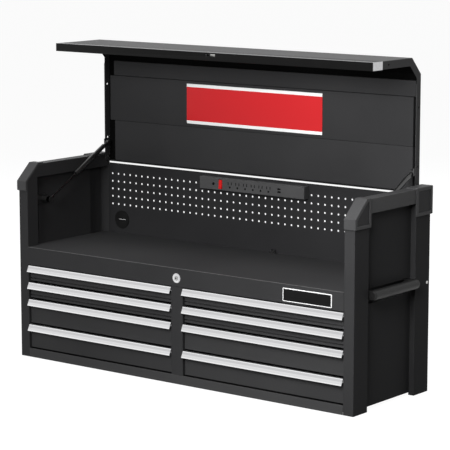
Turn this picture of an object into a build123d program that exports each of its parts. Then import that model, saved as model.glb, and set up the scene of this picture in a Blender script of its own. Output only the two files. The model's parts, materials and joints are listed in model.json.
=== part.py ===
from build123d import *
import os
from math import atan2, cos, hypot, pi, sin

# Eight-drawer top chest with its lid standing open. Millimetres, +Z up, front towards -Y.
# The origin lies on the surface that the chest stands on, midway between its pulls and its rear caps.

# General sheet metal, fits and cuts
sheet = 1.2
fold_radius = 2.0
hem_radius = 0.8
seam_gap = 0.3
running_fit = 0.06
overrun = 10.0
touch = 0.01

# Case
case_width = 1298.0
case_depth = 398.0
case_height = 620.0
case_chamfer_run = 51.0
case_chamfer_drop = 48.0
deck_height = 359.0
bottom_rail_height = 29.0
rail_return = 14.0
panel_lift = 8.0

# Ends: posts, top rails and the recessed wall between them
post_width = 36.0
front_post_depth = 71.0
front_return_depth = 48.0
rear_post_depth = 79.0
recess_depth = 18.0
side_rail_height = 41.0
side_rail_return = 40.0
ledge_width = 12.0
hand_pocket_depth = 12.0
hand_pocket_length = 194.0
hand_pocket_height = 43.0
hand_pocket_top = 355.0

# Moulded corner caps
cap_wall = 5.0
cap_height = 85.0
front_cap_length = 82.0
rear_cap_length = 88.0
cap_chamfer_run = 58.0
cap_chamfer_drop = 54.0
cap_rim = 10.0
cap_recess = 2.0
cap_round = 3.0

# Side handles
handle_radius = 15.0
handle_length = 234.0
handle_height = 342.0
handle_stand_off = 26.0
handle_foot_width = 20.0
handle_foot_height = 24.0
handle_foot_inset = 10.0
handle_round = 6.0

# Back panel with peg holes and a cable grommet
back_margin = 2.0
peg_pitch = 25.4
peg_radius = 3.2
peg_edge = 12.0
peg_rows = 5
peg_drop = 64.4
grommet_radius = 30.0
grommet_bore = 25.0
grommet_flange = 2.5
grommet_tail = 3.0
grommet_slit_length = 34.0
grommet_slit_width = 2.0
grommet_inset = 57.0
grommet_height = 404.0

# Drawer rows, from the lowest to the highest; the fronts of the shallow ones have a pressed groove
row_heights = (80.5, 82.5, 55.0, 55.0)
grooved_rows = (False, False, True, True)
drawer_gap = 2.5
mullion_width = 45.0
face_setback = 10.0
tray_sheet = 1.0
tray_depth = 367.0
tray_side_drop = 12.0
groove_height = 4.0
groove_depth = 5.0
groove_rise = 8.5

# Drawer pulls
pull_reach = 9.0
pull_drop = 20.0
pull_wall = 2.2
pull_hook = 14.0
pull_curl = 4.0
pull_curl_drop = 1.5
pull_side_gap = 0.75

# Slides and the uprights that carry them
slide_thickness = 12.7
slide_height = 35.0
slide_length = 345.0
slide_wall = 1.5
slide_lip = 8.5
slide_play = 0.5
slide_lift = 20.5
upright_width = 30.0
upright_wall = 1.5
upright_inset = 3.0

# Lid, drawn standing open
lid_side_gap = 4.5
lid_skirt = 24.0
lid_skirt_drop = 11.9
lid_pivot_offset = 7.5
lid_chamfer_run = 50.0
lid_chamfer_drop = 48.0
lid_floor_gap = 2.5
lid_swing_gap = 0.9
pivot_radius = 3.0
pivot_head_radius = 6.0
pivot_nut_radius = 4.9
pivot_head = 3.0
flange_hole_radius = 3.0
flange_hole_rises = (65.5, 242.0)
flange_hole_setback = 126.0

# Lid pull and closing strip
lid_pull_length = 50.0
lid_pull_depth = 25.0
lid_pull_wall = 2.5
closing_strip = 3.0
strip_slot_length = 36.0
strip_slot_width = 7.5

# Lid inner panels
liner_depth = 13.0
liner_edge_inset = 16.5
liner_notch_inset = 35.5
liner_right_inset = 7.0
liner_low_lift = 2.0
liner_upper_height = 148.0
liner_seam = 0.8
stiffener_gap = 2.0
stiffener_height = 47.0
stiffener_drop = 20.0
stiffener_proud = 3.0

# Gas struts
strut_inset = 15.0
strut_body_setback = 87.0
strut_body_z = 505.0
strut_lid_setback = 22.5
strut_lid_z = 663.0
strut_tube_radius = 7.5
strut_tube_length = 160.0
strut_tube_end = 24.0
strut_tube_plug = 8.0
strut_neck_radius = 4.8
strut_neck_length = 22.0
strut_rod_radius = 3.0
strut_rod_hold = 54.0
strut_eye_radius = 7.0
strut_foot_radius = 9.0
strut_stud_radius = 4.0
strut_eye_width = 10.0
strut_pin_radius = 5.0
strut_plate = 3.0
strut_plate_length = 58.0
strut_plate_height = 30.0
strut_plate_overhang = 20.0
lid_bracket_length = 22.0
lid_bracket_depth = 18.0
lid_bracket_sheet = 2.5

# Lock in the fascia, its bar and the tongue that rises into the lid
fascia_return = 20.0
lock_height = 329.0
lock_bezel_radius = 12.5
lock_bezel = 3.0
lock_barrel_radius = 9.4
lock_barrel_length = 17.0
lock_plug_radius = 7.0
lock_plug_proud = 1.0
cam_gap = 2.0
cam_radius = 11.0
cam_thickness = 3.0
crank_radius = 8.0
crank_pin_radius = 2.0
keyway_width = 1.6
keyway_height = 8.0
keyway_depth = 10.0
bar_width = 24.0
bar_offset = 2.0
bar_thickness = 3.0
bar_low = 60.0
tongue_x = 20.0
tongue_width = 30.0
tongue_thickness = 3.0
tongue_y_from_front = 8.1
tongue_under_deck = 3.0
shelf_thickness = 3.0
tongue_play = 1.5
lock_play = 0.5

# Power strip on the pegboard
strip_length = 412.0
strip_height = 39.0
strip_depth = 26.0
strip_wall = 2.5
strip_top = 582.5
outlet_pitch = 30.5
outlet_count = 6
outlet_x = -83.6
outlet_slot_width = 2.0
outlet_slot_height = 8.0
outlet_slot_spread = 12.7
outlet_slot_rise = 5.0
outlet_ground_radius = 2.6
outlet_ground_drop = 7.0
port_x = 110.0
port_width = 13.0
port_height = 5.2
port_pitch = 9.0
rocker_x = -121.0
rocker_width = 12.0
rocker_height = 28.0
rocker_gap = 1.4
rocker_depth = 9.0
rocker_crown = 2.5
rocker_proud = 1.2
rocker_pin_radius = 1.2
rocker_ear = 2.0
rocker_ear_depth = 5.0
rocker_ear_height = 7.0
reset_x = -149.0
reset_radius = 4.0
reset_length = 9.0
reset_proud = 3.0

# Places that follow from the sizes above
half = case_width / 2
front = (pull_reach - cap_wall - case_depth) / 2
back = front + case_depth
inner = half - post_width
wall_out = half - recess_depth
wall_in = wall_out - sheet
window_front = front + front_post_depth
window_back = back - rear_post_depth
window_middle = (window_front + window_back) / 2
rail_under = case_height - side_rail_height
floor_top = panel_lift + 2 * sheet
back_in = back - sheet
fascia_low = bottom_rail_height + sum(row_heights)
face_y = front + face_setback
mullion_half = mullion_width / 2
grommet_x = grommet_inset - inner
pivot_y = back - lid_pivot_offset
pivot_z = case_height - lid_pivot_offset
lid_half = inner - lid_side_gap
lid_top = pivot_y + pivot_z - front
lid_lip_y = deck_height + lid_floor_gap - pivot_z + pivot_y
lid_pull_front = lid_lip_y + closing_strip
lid_pull_back = lid_pull_front + lid_pull_length
skirt_z = pivot_z - lid_skirt_drop
back_top = pivot_z - hypot(lid_skirt_drop, lid_skirt - lid_pivot_offset) - lid_swing_gap
strut_x = inner - strut_inset
strut_body_y = front + strut_body_setback
strut_lid_y = back - strut_lid_setback
strut_length = hypot(strut_lid_y - strut_body_y, strut_lid_z - strut_body_z)
strut_angle = atan2(strut_lid_z - strut_body_z, strut_lid_y - strut_body_y)
strut_tube_low = strut_length - strut_tube_end - strut_tube_length


def block(x, y, z):
    """A box between a low and a high place on each axis."""
    corner = Pos((x[0] + x[1]) / 2, (y[0] + y[1]) / 2, (z[0] + z[1]) / 2)
    return corner * Box(x[1] - x[0], y[1] - y[0], z[1] - z[0])


def bar(radius, start, end):
    """A round bar from one point to another."""
    path = Vector(*end) - Vector(*start)
    place = Plane(origin=start, z_dir=path)
    return place * Cylinder(radius, path.length, align=(Align.CENTER, Align.CENTER, Align.MIN))


def prism(outline, x_low, x_high):
    """A closed (y, z) outline drawn out along X."""
    return extrude(Plane.YZ.offset(x_low) * make_face(Polyline(*outline, close=True)), x_high - x_low)


def right_hand(start, end):
    """The unit vector to the right of a step in the (y, z) plane."""
    step = Vector(*end) - Vector(*start)
    return Vector(step.Y, -step.X).normalized()


def shifted(path, distance, closed=False):
    """A path moved to its right by a distance, with mitred corners."""
    turns = path[1:] + path[:1] if closed else path[1:]
    normals = [right_hand(a, b) for a, b in zip(path, turns)]
    before = normals[-1:] + normals if closed else normals[:1] + normals
    after = normals if closed else normals + normals[-1:]
    moved = []
    for point, a, b in zip(path, before, after):
        place = Vector(*point) + (a + b) * (distance / (1 + a.dot(b)))
        moved.append((place.X, place.Y))
    return moved


def strip(path, thickness):
    """The outline of a bent strip that lies to the right of a path."""
    return path + shifted(path, thickness)[::-1]


def gap_to_step(point, start, end):
    """The distance from a point to a straight step of a path."""
    step = end - start
    share = max(0, min(1, (point - start).dot(step) / step.dot(step)))
    return (point - start - step * share).length


def fold_edges(edges, path):
    """The edges whose middles lie on a (y, z) path, away from its two ends."""
    corners = [Vector(*point) for point in path]
    found = []
    for edge in edges:
        middle = edge @ 0.5
        spot = Vector(middle.Y, middle.Z)
        near = min(gap_to_step(spot, a, b) for a, b in zip(corners, corners[1:])) < touch
        if near and min((spot - corner).length for corner in (corners[0], corners[-1])) > touch:
            found.append(edge)
    return found


def folded(shape, path, radius):
    """A bent strip along X with the outer side of its bends rounded."""
    return fillet(fold_edges(shape.edges().filter_by(Axis.X), path), radius)


def pair(shape):
    """A piece on the right and its mirror image on the left."""
    return [shape, mirror(shape, about=Plane.YZ)]


def save(name, *pieces):
    """Writes the solids of one node."""
    solids = [solid for piece in pieces for solid in piece.solids()]
    export_step(Compound(children=solids), f"parts/{name}.step")


# The case's side outline: up the front post, over the chamfer, along the rail and down the back.
case_path = [
    (front, 0),
    (front, case_height - case_chamfer_drop),
    (front + case_chamfer_run, case_height),
    (back_in, case_height),
    (back_in, 0),
]


def end_panel():
    """The right end: posts and rail folded from one sheet, with the recessed wall welded in."""
    blank = prism(case_path, inner, half)
    shell = fillet(fold_edges(blank.edges(), case_path), fold_radius)
    hollow = [(y, z if z else -overrun) for y, z in shifted(case_path, sheet)]
    shell -= prism(hollow, inner + sheet, half - sheet)
    shell -= block((inner + sheet, half + overrun), (window_front, window_back), (-overrun, rail_under))
    shell -= block(
        (inner - overrun, inner + sheet),
        (front + front_return_depth, back_in - sheet),
        (-overrun, case_height - side_rail_return),
    )
    pivot = (inner - overrun, pivot_y, pivot_z), (inner + post_width / 2, pivot_y, pivot_z)
    shell -= bar(pivot_radius + seam_gap, *pivot)
    recess = block((wall_in, half), (window_front - sheet, window_back + sheet), (0, rail_under + sheet))
    recess -= block((wall_out, half + overrun), (window_front, window_back), (-overrun, rail_under))
    recess -= block((wall_in - overrun, half), (window_front, window_back), (-overrun, panel_lift))
    front_foot = block((inner + sheet, half - sheet), (front + sheet, window_front), (0, sheet))
    rear_foot = block((wall_in, half - sheet), (window_back, back_in - sheet), (0, sheet))
    panel = shell + recess + front_foot + rear_foot
    ledge_x = (wall_in - ledge_width, wall_out)
    ledge_y = (window_front, window_back)
    panel += block(ledge_x, ledge_y, (panel_lift, panel_lift + sheet))
    pocket_front = window_middle - hand_pocket_length / 2
    pocket_back = window_middle + hand_pocket_length / 2
    pocket_low = hand_pocket_top - hand_pocket_height
    panel += block(
        (wall_in - hand_pocket_depth, wall_out),
        (pocket_front - sheet, pocket_back + sheet),
        (pocket_low - sheet, hand_pocket_top + sheet),
    )
    return panel - block(
        (wall_out - hand_pocket_depth, wall_out + overrun),
        (pocket_front, pocket_back),
        (pocket_low, hand_pocket_top),
    )


def rounded_cap(blank):
    """A cap's blank with all its edges rounded but those on its inner side."""
    inside = blank.faces().sort_by(Axis.X)[0].edges()
    return fillet([edge for edge in blank.edges() if edge not in inside], cap_round)


def front_cap():
    """The chamfered cap over the top of the right front post."""
    low = case_height + cap_wall - cap_height
    high = case_height + cap_wall
    tip = front - cap_wall
    outline = [
        (tip, low),
        (tip, high - cap_chamfer_drop),
        (tip + cap_chamfer_run, high),
        (tip + front_cap_length, high),
        (tip + front_cap_length, low),
    ]
    face = half + cap_wall
    cap = rounded_cap(prism(outline, inner + sheet, face)) - prism(case_path, inner, half)
    return cap - prism(shifted(outline, cap_rim, True), face - cap_recess, face + overrun)


def rear_cap():
    """The square cap over the top of the right rear post."""
    low = case_height + cap_wall - cap_height
    high = case_height + cap_wall
    tip = back + cap_wall
    face = half + cap_wall
    cap = rounded_cap(block((inner + sheet, face), (tip - rear_cap_length, tip), (low, high)))
    cap -= block((inner, half), (front, back), (0, case_height))
    return cap - block(
        (face - cap_recess, face + overrun),
        (tip - rear_cap_length + cap_rim, tip - cap_rim),
        (low + cap_rim, high - cap_rim),
    )


def side_handle():
    """The right handle: a round grip on two feet, over the hand pocket."""
    x = wall_out + handle_stand_off
    reach = handle_length / 2
    ends = (window_middle - reach, window_middle + reach)
    grip = bar(handle_radius, (x, ends[0], handle_height), (x, ends[1], handle_height))
    grip = fillet(grip.edges().filter_by(GeomType.CIRCLE), handle_round)
    foot_z = (handle_height - handle_foot_height / 2, handle_height + handle_foot_height / 2)
    foot_y = hand_pocket_length / 2 + handle_foot_inset
    for y in (window_middle - foot_y, window_middle + foot_y):
        grip += block((wall_out, x), (y - handle_foot_width / 2, y + handle_foot_width / 2), foot_z)
    return grip


def back_panel():
    """The back sheet with its field of peg holes and the grommet's hole."""
    width = case_width - 2 * back_margin
    height = back_top - panel_lift
    middle = panel_lift + height / 2
    field = case_height - peg_drop - (peg_rows - 1) * peg_pitch / 2
    columns = int((inner - peg_edge) / (peg_pitch / 2)) + 1
    holes = [
        Pos(0, field - middle) * spot * Circle(peg_radius)
        for spot in GridLocations(peg_pitch, peg_pitch, columns, peg_rows)
    ]
    face = Rectangle(width, height) - holes
    face -= Pos(grommet_x, grommet_height - middle) * Circle(grommet_bore + seam_gap)
    return extrude(Plane.XZ.offset(-back) * Pos(0, middle) * face, sheet)


def cable_grommet():
    """A rubber grommet with a slit membrane, pressed into the back panel."""
    spans = (
        (grommet_radius, back_in - grommet_flange, back_in),
        (grommet_bore, back_in, back + grommet_tail),
    )
    flange, barrel = (
        bar(radius, (grommet_x, low, grommet_height), (grommet_x, high, grommet_height))
        for radius, low, high in spans
    )
    slit_x = grommet_slit_length / 2
    slit_z = grommet_slit_width / 2
    return flange + barrel - block(
        (grommet_x - slit_x, grommet_x + slit_x),
        (front, back + overrun),
        (grommet_height - slit_z, grommet_height + slit_z),
    )


def tongue_slot(z_low, z_high):
    """The slot that the lock's tongue rises through."""
    x = tongue_width / 2 + tongue_play
    y = front + tongue_y_from_front
    reach = tongue_thickness / 2 + tongue_play
    return block((tongue_x - x, tongue_x + x), (y - reach, y + reach), (z_low - overrun, z_high + overrun))


def floor_sheet(top, y_front):
    """A level sheet from end to end, with wings behind the front posts' returns."""
    z = (top - sheet, top)
    wing = wall_in - seam_gap
    plain = block((-inner, inner), (y_front, back_in - sheet), z)
    return plain + block((-wing, wing), (front + front_return_depth + seam_gap, back_in - sheet), z)


def fascia():
    """The rail under the till's front edge, folded back above and below."""
    path = [
        (front + fascia_return, fascia_low),
        (front, fascia_low),
        (front, deck_height - sheet),
        (front + fascia_return, deck_height - sheet),
    ]
    rail = folded(prism(strip(path, sheet), -inner, inner), path, fold_radius)
    hole = (0, front - overrun, lock_height), (0, front + overrun, lock_height)
    return rail - bar(lock_barrel_radius + seam_gap, *hole) - tongue_slot(deck_height - sheet, deck_height)


def base_pan():
    """The floor under the drawers and the bottom rail in front of it."""
    path = [(front, 0), (front, bottom_rail_height), (front + rail_return, bottom_rail_height)]
    rail = folded(prism(strip(path, sheet), -inner, inner), path, fold_radius)
    return floor_sheet(floor_top, front + sheet) + rail


def centre_divider():
    """The hollow upright between the two columns, with the mullion as its front."""
    z = (bottom_rail_height, fascia_low)
    box = block((-mullion_half, mullion_half), (front, back_in), z)
    box = fillet(box.edges().filter_by(Axis.Z).group_by(Axis.Y)[0], fold_radius)
    return box - block(
        (sheet - mullion_half, mullion_half - sheet),
        (front + sheet, back),
        (bottom_rail_height - overrun, fascia_low + overrun),
    )


def slide_uprights():
    """Two channels on the right wall, which carry the slides."""
    channels = []
    for y in (window_front + upright_inset, window_back - upright_inset - upright_width):
        channel = block((inner, wall_in), (y, y + upright_width), (floor_top, fascia_low))
        channel -= block(
            (inner + upright_wall, half),
            (y + upright_wall, y + upright_width - upright_wall),
            (0, case_height),
        )
        channels.append(channel)
    return channels


def channel_rail(web, tip, middle_z, height):
    """A slide member: a channel along Y with its web at one X place and its lips at another."""
    toward = 1 if tip > web else -1
    y = (face_y + tray_depth - slide_length, face_y + tray_depth)
    rail = block(sorted((web, tip)), y, (middle_z - height / 2, middle_z + height / 2))
    hollow = sorted((web + toward * slide_wall, tip + toward * overrun))
    return rail - block(
        hollow,
        (y[0] - overrun, y[1] + overrun),
        (middle_z - height / 2 + slide_wall, middle_z + height / 2 - slide_wall),
    )


def slide_members(wall, toward, middle_z):
    """The cabinet, middle and drawer members of one slide, from its wall towards the tray."""
    step = slide_wall + slide_play
    cabinet = channel_rail(wall, wall + toward * slide_lip, middle_z, slide_height)
    middle = channel_rail(
        wall + toward * step, wall + toward * (step + slide_lip), middle_z, slide_height - 2 * step
    )
    drawer = channel_rail(
        wall + toward * slide_thickness, wall + toward * 2 * step, middle_z, slide_height - 4 * step
    )
    return cabinet, middle, drawer


def tray(row_low, row_high, grooved):
    """The right column's sheet tray, with a front that fills the opening up to the pull."""
    x = (mullion_half + slide_thickness, inner - slide_thickness)
    y = (face_y, face_y + tray_depth)
    low = row_low + drawer_gap
    high = row_high - drawer_gap
    box = block(x, y, (low, high - tray_side_drop))
    box -= block(
        (x[0] + tray_sheet, x[1] - tray_sheet),
        (y[0] + tray_sheet, y[1] - tray_sheet),
        (low + tray_sheet, high),
    )
    face_x = (mullion_half + pull_side_gap, inner - pull_side_gap)
    box += block(face_x, (y[0], y[0] + tray_sheet), (low, high))
    if not grooved:
        return box
    groove_y = y[0] + groove_depth
    groove_z = (low + groove_rise - groove_height / 2, low + groove_rise + groove_height / 2)
    bead_z = (groove_z[0] - tray_sheet, groove_z[1] + tray_sheet)
    box += block(face_x, (y[0], groove_y + tray_sheet), bead_z)
    return box - block((0, half), (y[0] - overrun, groove_y), groove_z)


def drawer_pull(row_high):
    """The right column's extruded pull: a sloped face, a top and a hook down the tray's front."""
    top = row_high - drawer_gap
    path = [
        (front - pull_reach + pull_curl, top - pull_drop - pull_curl_drop),
        (front - pull_reach, top - pull_drop),
        (front, top),
        (face_y, top),
        (face_y, top - pull_hook),
    ]
    bent = prism(strip(path, pull_wall), mullion_half + pull_side_gap, inner - pull_side_gap)
    return folded(bent, path[1:], fold_radius)


# The lid's side outline, open: along the canopy to the chamfer, down the back and under the skirt.
lid_path = [
    (lid_pull_back, lid_top),
    (pivot_y + case_height - lid_chamfer_drop - pivot_z, lid_top),
    (back, lid_top - lid_chamfer_run),
    (back, skirt_z),
    (back - lid_skirt, skirt_z),
]


def lid_shell():
    """The lid's pan: a bent skin with a flange round its ends."""
    blank = prism(strip(lid_path[:-1], lid_skirt), -lid_half, lid_half)
    shell = fillet(fold_edges(blank.edges(), lid_path), fold_radius)
    top, chamfer, bend, corner = shifted(lid_path[:-1], sheet)
    hollow = [(top[0] - overrun, top[1]), chamfer, bend, (corner[0], skirt_z + sheet)]
    shell -= prism(strip(hollow, lid_skirt), sheet - lid_half, lid_half - sheet)
    middle_y = back - lid_skirt / 2
    spots = [(flange_hole_radius, middle_y, pivot_z + rise) for rise in flange_hole_rises]
    spots.append((flange_hole_radius, lid_path[1][0] - flange_hole_setback, lid_top - lid_skirt / 2))
    spots.append((pivot_radius + running_fit, pivot_y, pivot_z))
    for radius, y, z in spots:
        for hole in pair(bar(radius, (lid_half - overrun, y, z), (inner, y, z))):
            shell -= hole
    return shell


def lid_slot():
    """The lock slot's place in the closing strip and the pull."""
    z = lid_top - tongue_y_from_front
    return block(
        (tongue_x - strip_slot_length / 2, tongue_x + strip_slot_length / 2),
        (lid_lip_y - overrun, lid_pull_front + lid_pull_wall + seam_gap),
        (z - strip_slot_width / 2, z + strip_slot_width / 2),
    )


def lid_pull():
    """The hollow extrusion along the lid's front edge."""
    z = (lid_top - lid_pull_depth, lid_top)
    rail = block((-lid_half, lid_half), (lid_pull_front, lid_pull_back), z)
    rail = fillet(rail.edges().filter_by(Axis.X), fold_radius)
    rail -= block(
        (lid_pull_wall - lid_half, lid_half - lid_pull_wall),
        (lid_pull_front + lid_pull_wall, lid_pull_back - lid_pull_wall),
        (z[0] + lid_pull_wall, z[1] - lid_pull_wall),
    )
    return rail - lid_slot()


def lid_closing_strip():
    """The black strip that meets the till's floor when the lid is shut."""
    rail = block((-lid_half, lid_half), (lid_lip_y, lid_pull_front), (lid_top - lid_pull_depth, lid_top))
    return rail - lid_slot()


def lid_pan(left, right, low, high, depth):
    """An inner panel folded back to the lid's skin on all four sides."""
    skin = back - sheet
    panel = block((left, right), (skin - depth, skin), (low, high))
    return panel - block(
        (left + sheet, right - sheet),
        (skin - depth + sheet, skin + overrun),
        (low + sheet, high - sheet),
    )


def pivot_bolt():
    """The right pivot bolt: head inside the lid's flange, spacer, shank and nut in the rail."""
    head = lid_half - sheet - seam_gap
    nut = inner + sheet
    bolt = bar(pivot_radius, (head - pivot_head, pivot_y, pivot_z), (nut + pivot_head, pivot_y, pivot_z))
    spans = (
        (pivot_head_radius, head - pivot_head, head),
        (pivot_head_radius, lid_half + seam_gap, inner),
        (pivot_nut_radius, nut, nut + pivot_head),
    )
    for radius, low, high in spans:
        bolt += bar(radius, (low, pivot_y, pivot_z), (high, pivot_y, pivot_z))
    return bolt


def along_strut(distance):
    """A point on the right strut's axis, measured from its body pivot."""
    return (strut_x, strut_body_y + distance * cos(strut_angle), strut_body_z + distance * sin(strut_angle))


def across_strut(radius, place, x_low, x_high):
    """A round along X through a point of the strut."""
    return bar(radius, (x_low, place[1], place[2]), (x_high, place[1], place[2]))


def strut_cylinder():
    """The right strut's tube, whose eye faces the lid bracket."""
    eye = along_strut(strut_length)
    top = along_strut(strut_length - strut_tube_end)
    face = lid_half - sheet - lid_bracket_sheet - seam_gap
    tube = bar(strut_tube_radius, along_strut(strut_tube_low), top) + bar(strut_neck_radius, top, eye)
    tube += across_strut(strut_eye_radius, eye, strut_x - strut_eye_width / 2, strut_x + strut_eye_width / 2)
    tube += across_strut(strut_stud_radius, eye, strut_x, face)
    bore = along_strut(strut_length - strut_tube_end - strut_tube_plug)
    return tube - bar(strut_rod_radius + running_fit, along_strut(0), bore)


def strut_rod():
    """The right strut's rod, with the eye that turns on the body bracket's pin."""
    eye = along_strut(0)
    eye_x = (strut_x - strut_eye_width / 2, strut_x + strut_eye_width / 2)
    rod = bar(strut_rod_radius, eye, along_strut(strut_tube_low + strut_rod_hold))
    rod += bar(strut_neck_radius, eye, along_strut(strut_neck_length))
    rod += across_strut(strut_foot_radius, eye, *eye_x)
    return rod - across_strut(strut_pin_radius + running_fit, eye, eye_x[0] - overrun, eye_x[1] + overrun)


def strut_body_bracket():
    """The plate on the right wall, with the pin that carries the strut."""
    eye = along_strut(0)
    eye_low = strut_x - strut_eye_width / 2 - seam_gap
    eye_high = strut_x + strut_eye_width / 2 + seam_gap
    y_high = eye[1] + strut_plate_overhang
    z_low = eye[2] - strut_plate_height / 2
    bracket = block(
        (wall_in - strut_plate, wall_in),
        (y_high - strut_plate_length, y_high),
        (z_low, z_low + strut_plate_height),
    )
    bracket += across_strut(strut_pin_radius, eye, eye_low - strut_plate, wall_in)
    bracket += across_strut(strut_foot_radius, eye, eye_high, wall_in)
    return bracket + across_strut(strut_foot_radius, eye, eye_low - strut_plate, eye_low)


def strut_lid_bracket():
    """The plate on the lid's right flange, beside the tube's eye."""
    flange = lid_half - sheet
    return block(
        (flange - lid_bracket_sheet, flange),
        (strut_lid_y - lid_bracket_depth / 2, strut_lid_y + lid_bracket_depth / 2),
        (strut_lid_z - lid_bracket_length / 2, strut_lid_z + lid_bracket_length / 2),
    )


def lock_round(radius, y_low, y_high, x=0, z=lock_height):
    """A round along the lock's axis, between two depths behind the fascia's face."""
    return bar(radius, (x, front + y_low, z), (x, front + y_high, z))


lock_cam_front = lock_barrel_length + cam_gap
lock_cam_back = lock_cam_front + cam_thickness
crank_x = crank_radius * cos(pi / 4)
crank_z = lock_height - crank_radius * sin(pi / 4)


def lock_housing():
    """The lock's bezel and barrel."""
    housing = lock_round(lock_bezel_radius, -lock_bezel, 0)
    housing += lock_round(lock_barrel_radius, 0, lock_barrel_length)
    return housing - lock_round(lock_plug_radius + running_fit, -overrun, lock_barrel_length + overrun)


def lock_plug():
    """The plug with its keyway, the cam behind it and the cam's crank pin."""
    nose = -lock_bezel - lock_plug_proud
    plug = lock_round(lock_plug_radius, nose, lock_cam_front)
    plug += lock_round(cam_radius, lock_cam_front, lock_cam_back)
    pin_end = lock_cam_back + lock_play + bar_thickness
    plug += lock_round(crank_pin_radius, lock_cam_back, pin_end, crank_x, crank_z)
    return plug - block(
        (-keyway_width / 2, keyway_width / 2),
        (front + nose - overrun, front + nose + keyway_depth),
        (lock_height - keyway_height / 2, lock_height + keyway_height / 2),
    )


def lock_bar():
    """The bar behind the mullion, lifted by the crank pin, with the tongue for the lid."""
    y_low = front + lock_cam_back + lock_play
    y = (y_low, y_low + bar_thickness)
    tongue_y = front + tongue_y_from_front
    shelf_low = lock_height + cam_radius + cam_gap
    shelf_z = (shelf_low, shelf_low + shelf_thickness)
    tongue_xs = (tongue_x - tongue_width / 2, tongue_x + tongue_width / 2)
    tongue_ys = (tongue_y - tongue_thickness / 2, tongue_y + tongue_thickness / 2)
    flat = block((bar_offset - bar_width / 2, bar_offset + bar_width / 2), y, (bar_low, shelf_z[1]))
    flat += block((bar_offset - bar_width / 2, tongue_xs[1]), y, shelf_z)
    flat += block(tongue_xs, (tongue_ys[0], y[1]), shelf_z)
    flat += block(tongue_xs, tongue_ys, (shelf_low, deck_height - tongue_under_deck))
    reach = crank_pin_radius + lock_play
    return flat - block(
        (crank_x - reach, crank_radius + reach), (front, back), (crank_z - reach, crank_z + reach)
    )


strip_face = back_in - strip_depth
strip_middle = strip_top - strip_height / 2
rocker_pin_y = strip_face + strip_wall + rocker_ear_depth / 2
ear_inner = rocker_width / 2 + rocker_gap
ear_outer = ear_inner + rocker_ear


def rocker_pin(radius):
    """The switch's pivot, from the outside of one ear to the outside of the other."""
    ends = (rocker_x - ear_outer, rocker_x + ear_outer)
    return bar(radius, (ends[0], rocker_pin_y, strip_middle), (ends[1], rocker_pin_y, strip_middle))


def power_strip():
    """The moulded housing with its outlets, charging ports, switch window and button hole."""
    x = strip_length / 2
    low = strip_top - strip_height
    box = block((-x, x), (strip_face, back_in), (low, strip_top))
    box = fillet(box.faces().sort_by(Axis.Y)[0].edges(), fold_radius)
    box -= block(
        (strip_wall - x, x - strip_wall),
        (strip_face + strip_wall, back),
        (low + strip_wall, strip_top - strip_wall),
    )
    cut = (strip_face - overrun, strip_face + strip_wall + overrun)
    for n in range(outlet_count):
        centre = outlet_x + n * outlet_pitch
        for side in (-1, 1):
            slot = centre + side * outlet_slot_spread / 2
            box -= block(
                (slot - outlet_slot_width / 2, slot + outlet_slot_width / 2),
                cut,
                (strip_middle + outlet_slot_rise - outlet_slot_height / 2,
                 strip_middle + outlet_slot_rise + outlet_slot_height / 2),
            )
        ground = strip_middle - outlet_ground_drop
        box -= bar(outlet_ground_radius, (centre, cut[0], ground), (centre, cut[1], ground))
    for side in (-1, 1):
        port = strip_middle + side * port_pitch / 2
        box -= block(
            (port_x - port_width / 2, port_x + port_width / 2),
            cut,
            (port - port_height / 2, port + port_height / 2),
        )
    window_z = rocker_height / 2 + rocker_gap
    ear_y = (strip_face + strip_wall, strip_face + strip_wall + rocker_ear_depth)
    ear_z = (strip_middle - rocker_ear_height / 2, strip_middle + rocker_ear_height / 2)
    ears = block((rocker_x - ear_outer, rocker_x + ear_outer), ear_y, ear_z)
    box += ears - rocker_pin(rocker_pin_radius + running_fit)
    box -= block(
        (rocker_x - ear_inner, rocker_x + ear_inner),
        cut,
        (strip_middle - window_z, strip_middle + window_z),
    )
    hole = (reset_x, cut[0], strip_middle), (reset_x, cut[1], strip_middle)
    return box - bar(reset_radius + seam_gap, *hole)


def rocker():
    """The switch: a rocker on a pivot pin, tipped so that its lower end stands out."""
    reach = rocker_height / 2
    face = strip_face - rocker_proud
    outline = [
        (face + rocker_depth, strip_middle - reach),
        (face - rocker_crown, strip_middle - reach),
        (face, strip_middle),
        (face, strip_middle + reach),
        (face + rocker_depth, strip_middle + reach),
    ]
    rocker_body = prism(outline, rocker_x - rocker_width / 2, rocker_x + rocker_width / 2)
    return rocker_body + rocker_pin(rocker_pin_radius)


def reset_button():
    """The small round reset button beside the switch."""
    y = strip_face - reset_proud
    return bar(reset_radius, (reset_x, y, strip_middle), (reset_x, y + reset_length, strip_middle))


os.makedirs("parts", exist_ok=True)

right_end, left_end = pair(end_panel())
save("right_end_panel", right_end)
save("left_end_panel", left_end)
save("front_caps", *pair(front_cap()))
save("rear_caps", *pair(rear_cap()))
right_handle, left_handle = pair(side_handle())
save("right_handle", right_handle)
save("left_handle", left_handle)
save("back_panel", back_panel())
save("cable_grommet", cable_grommet())
deck = floor_sheet(deck_height, front)
deck = fillet(deck.edges().filter_by(Axis.X).group_by(Axis.Y)[0].sort_by(Axis.Z)[-1:], hem_radius)
save("till_deck", deck - tongue_slot(deck_height - sheet, deck_height))
save("fascia", fascia())
save("base_pan", base_pan())
save("centre_divider", centre_divider())
uprights = [piece for channel in slide_uprights() for piece in pair(channel)]
save("slide_uprights", *uprights)

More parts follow.
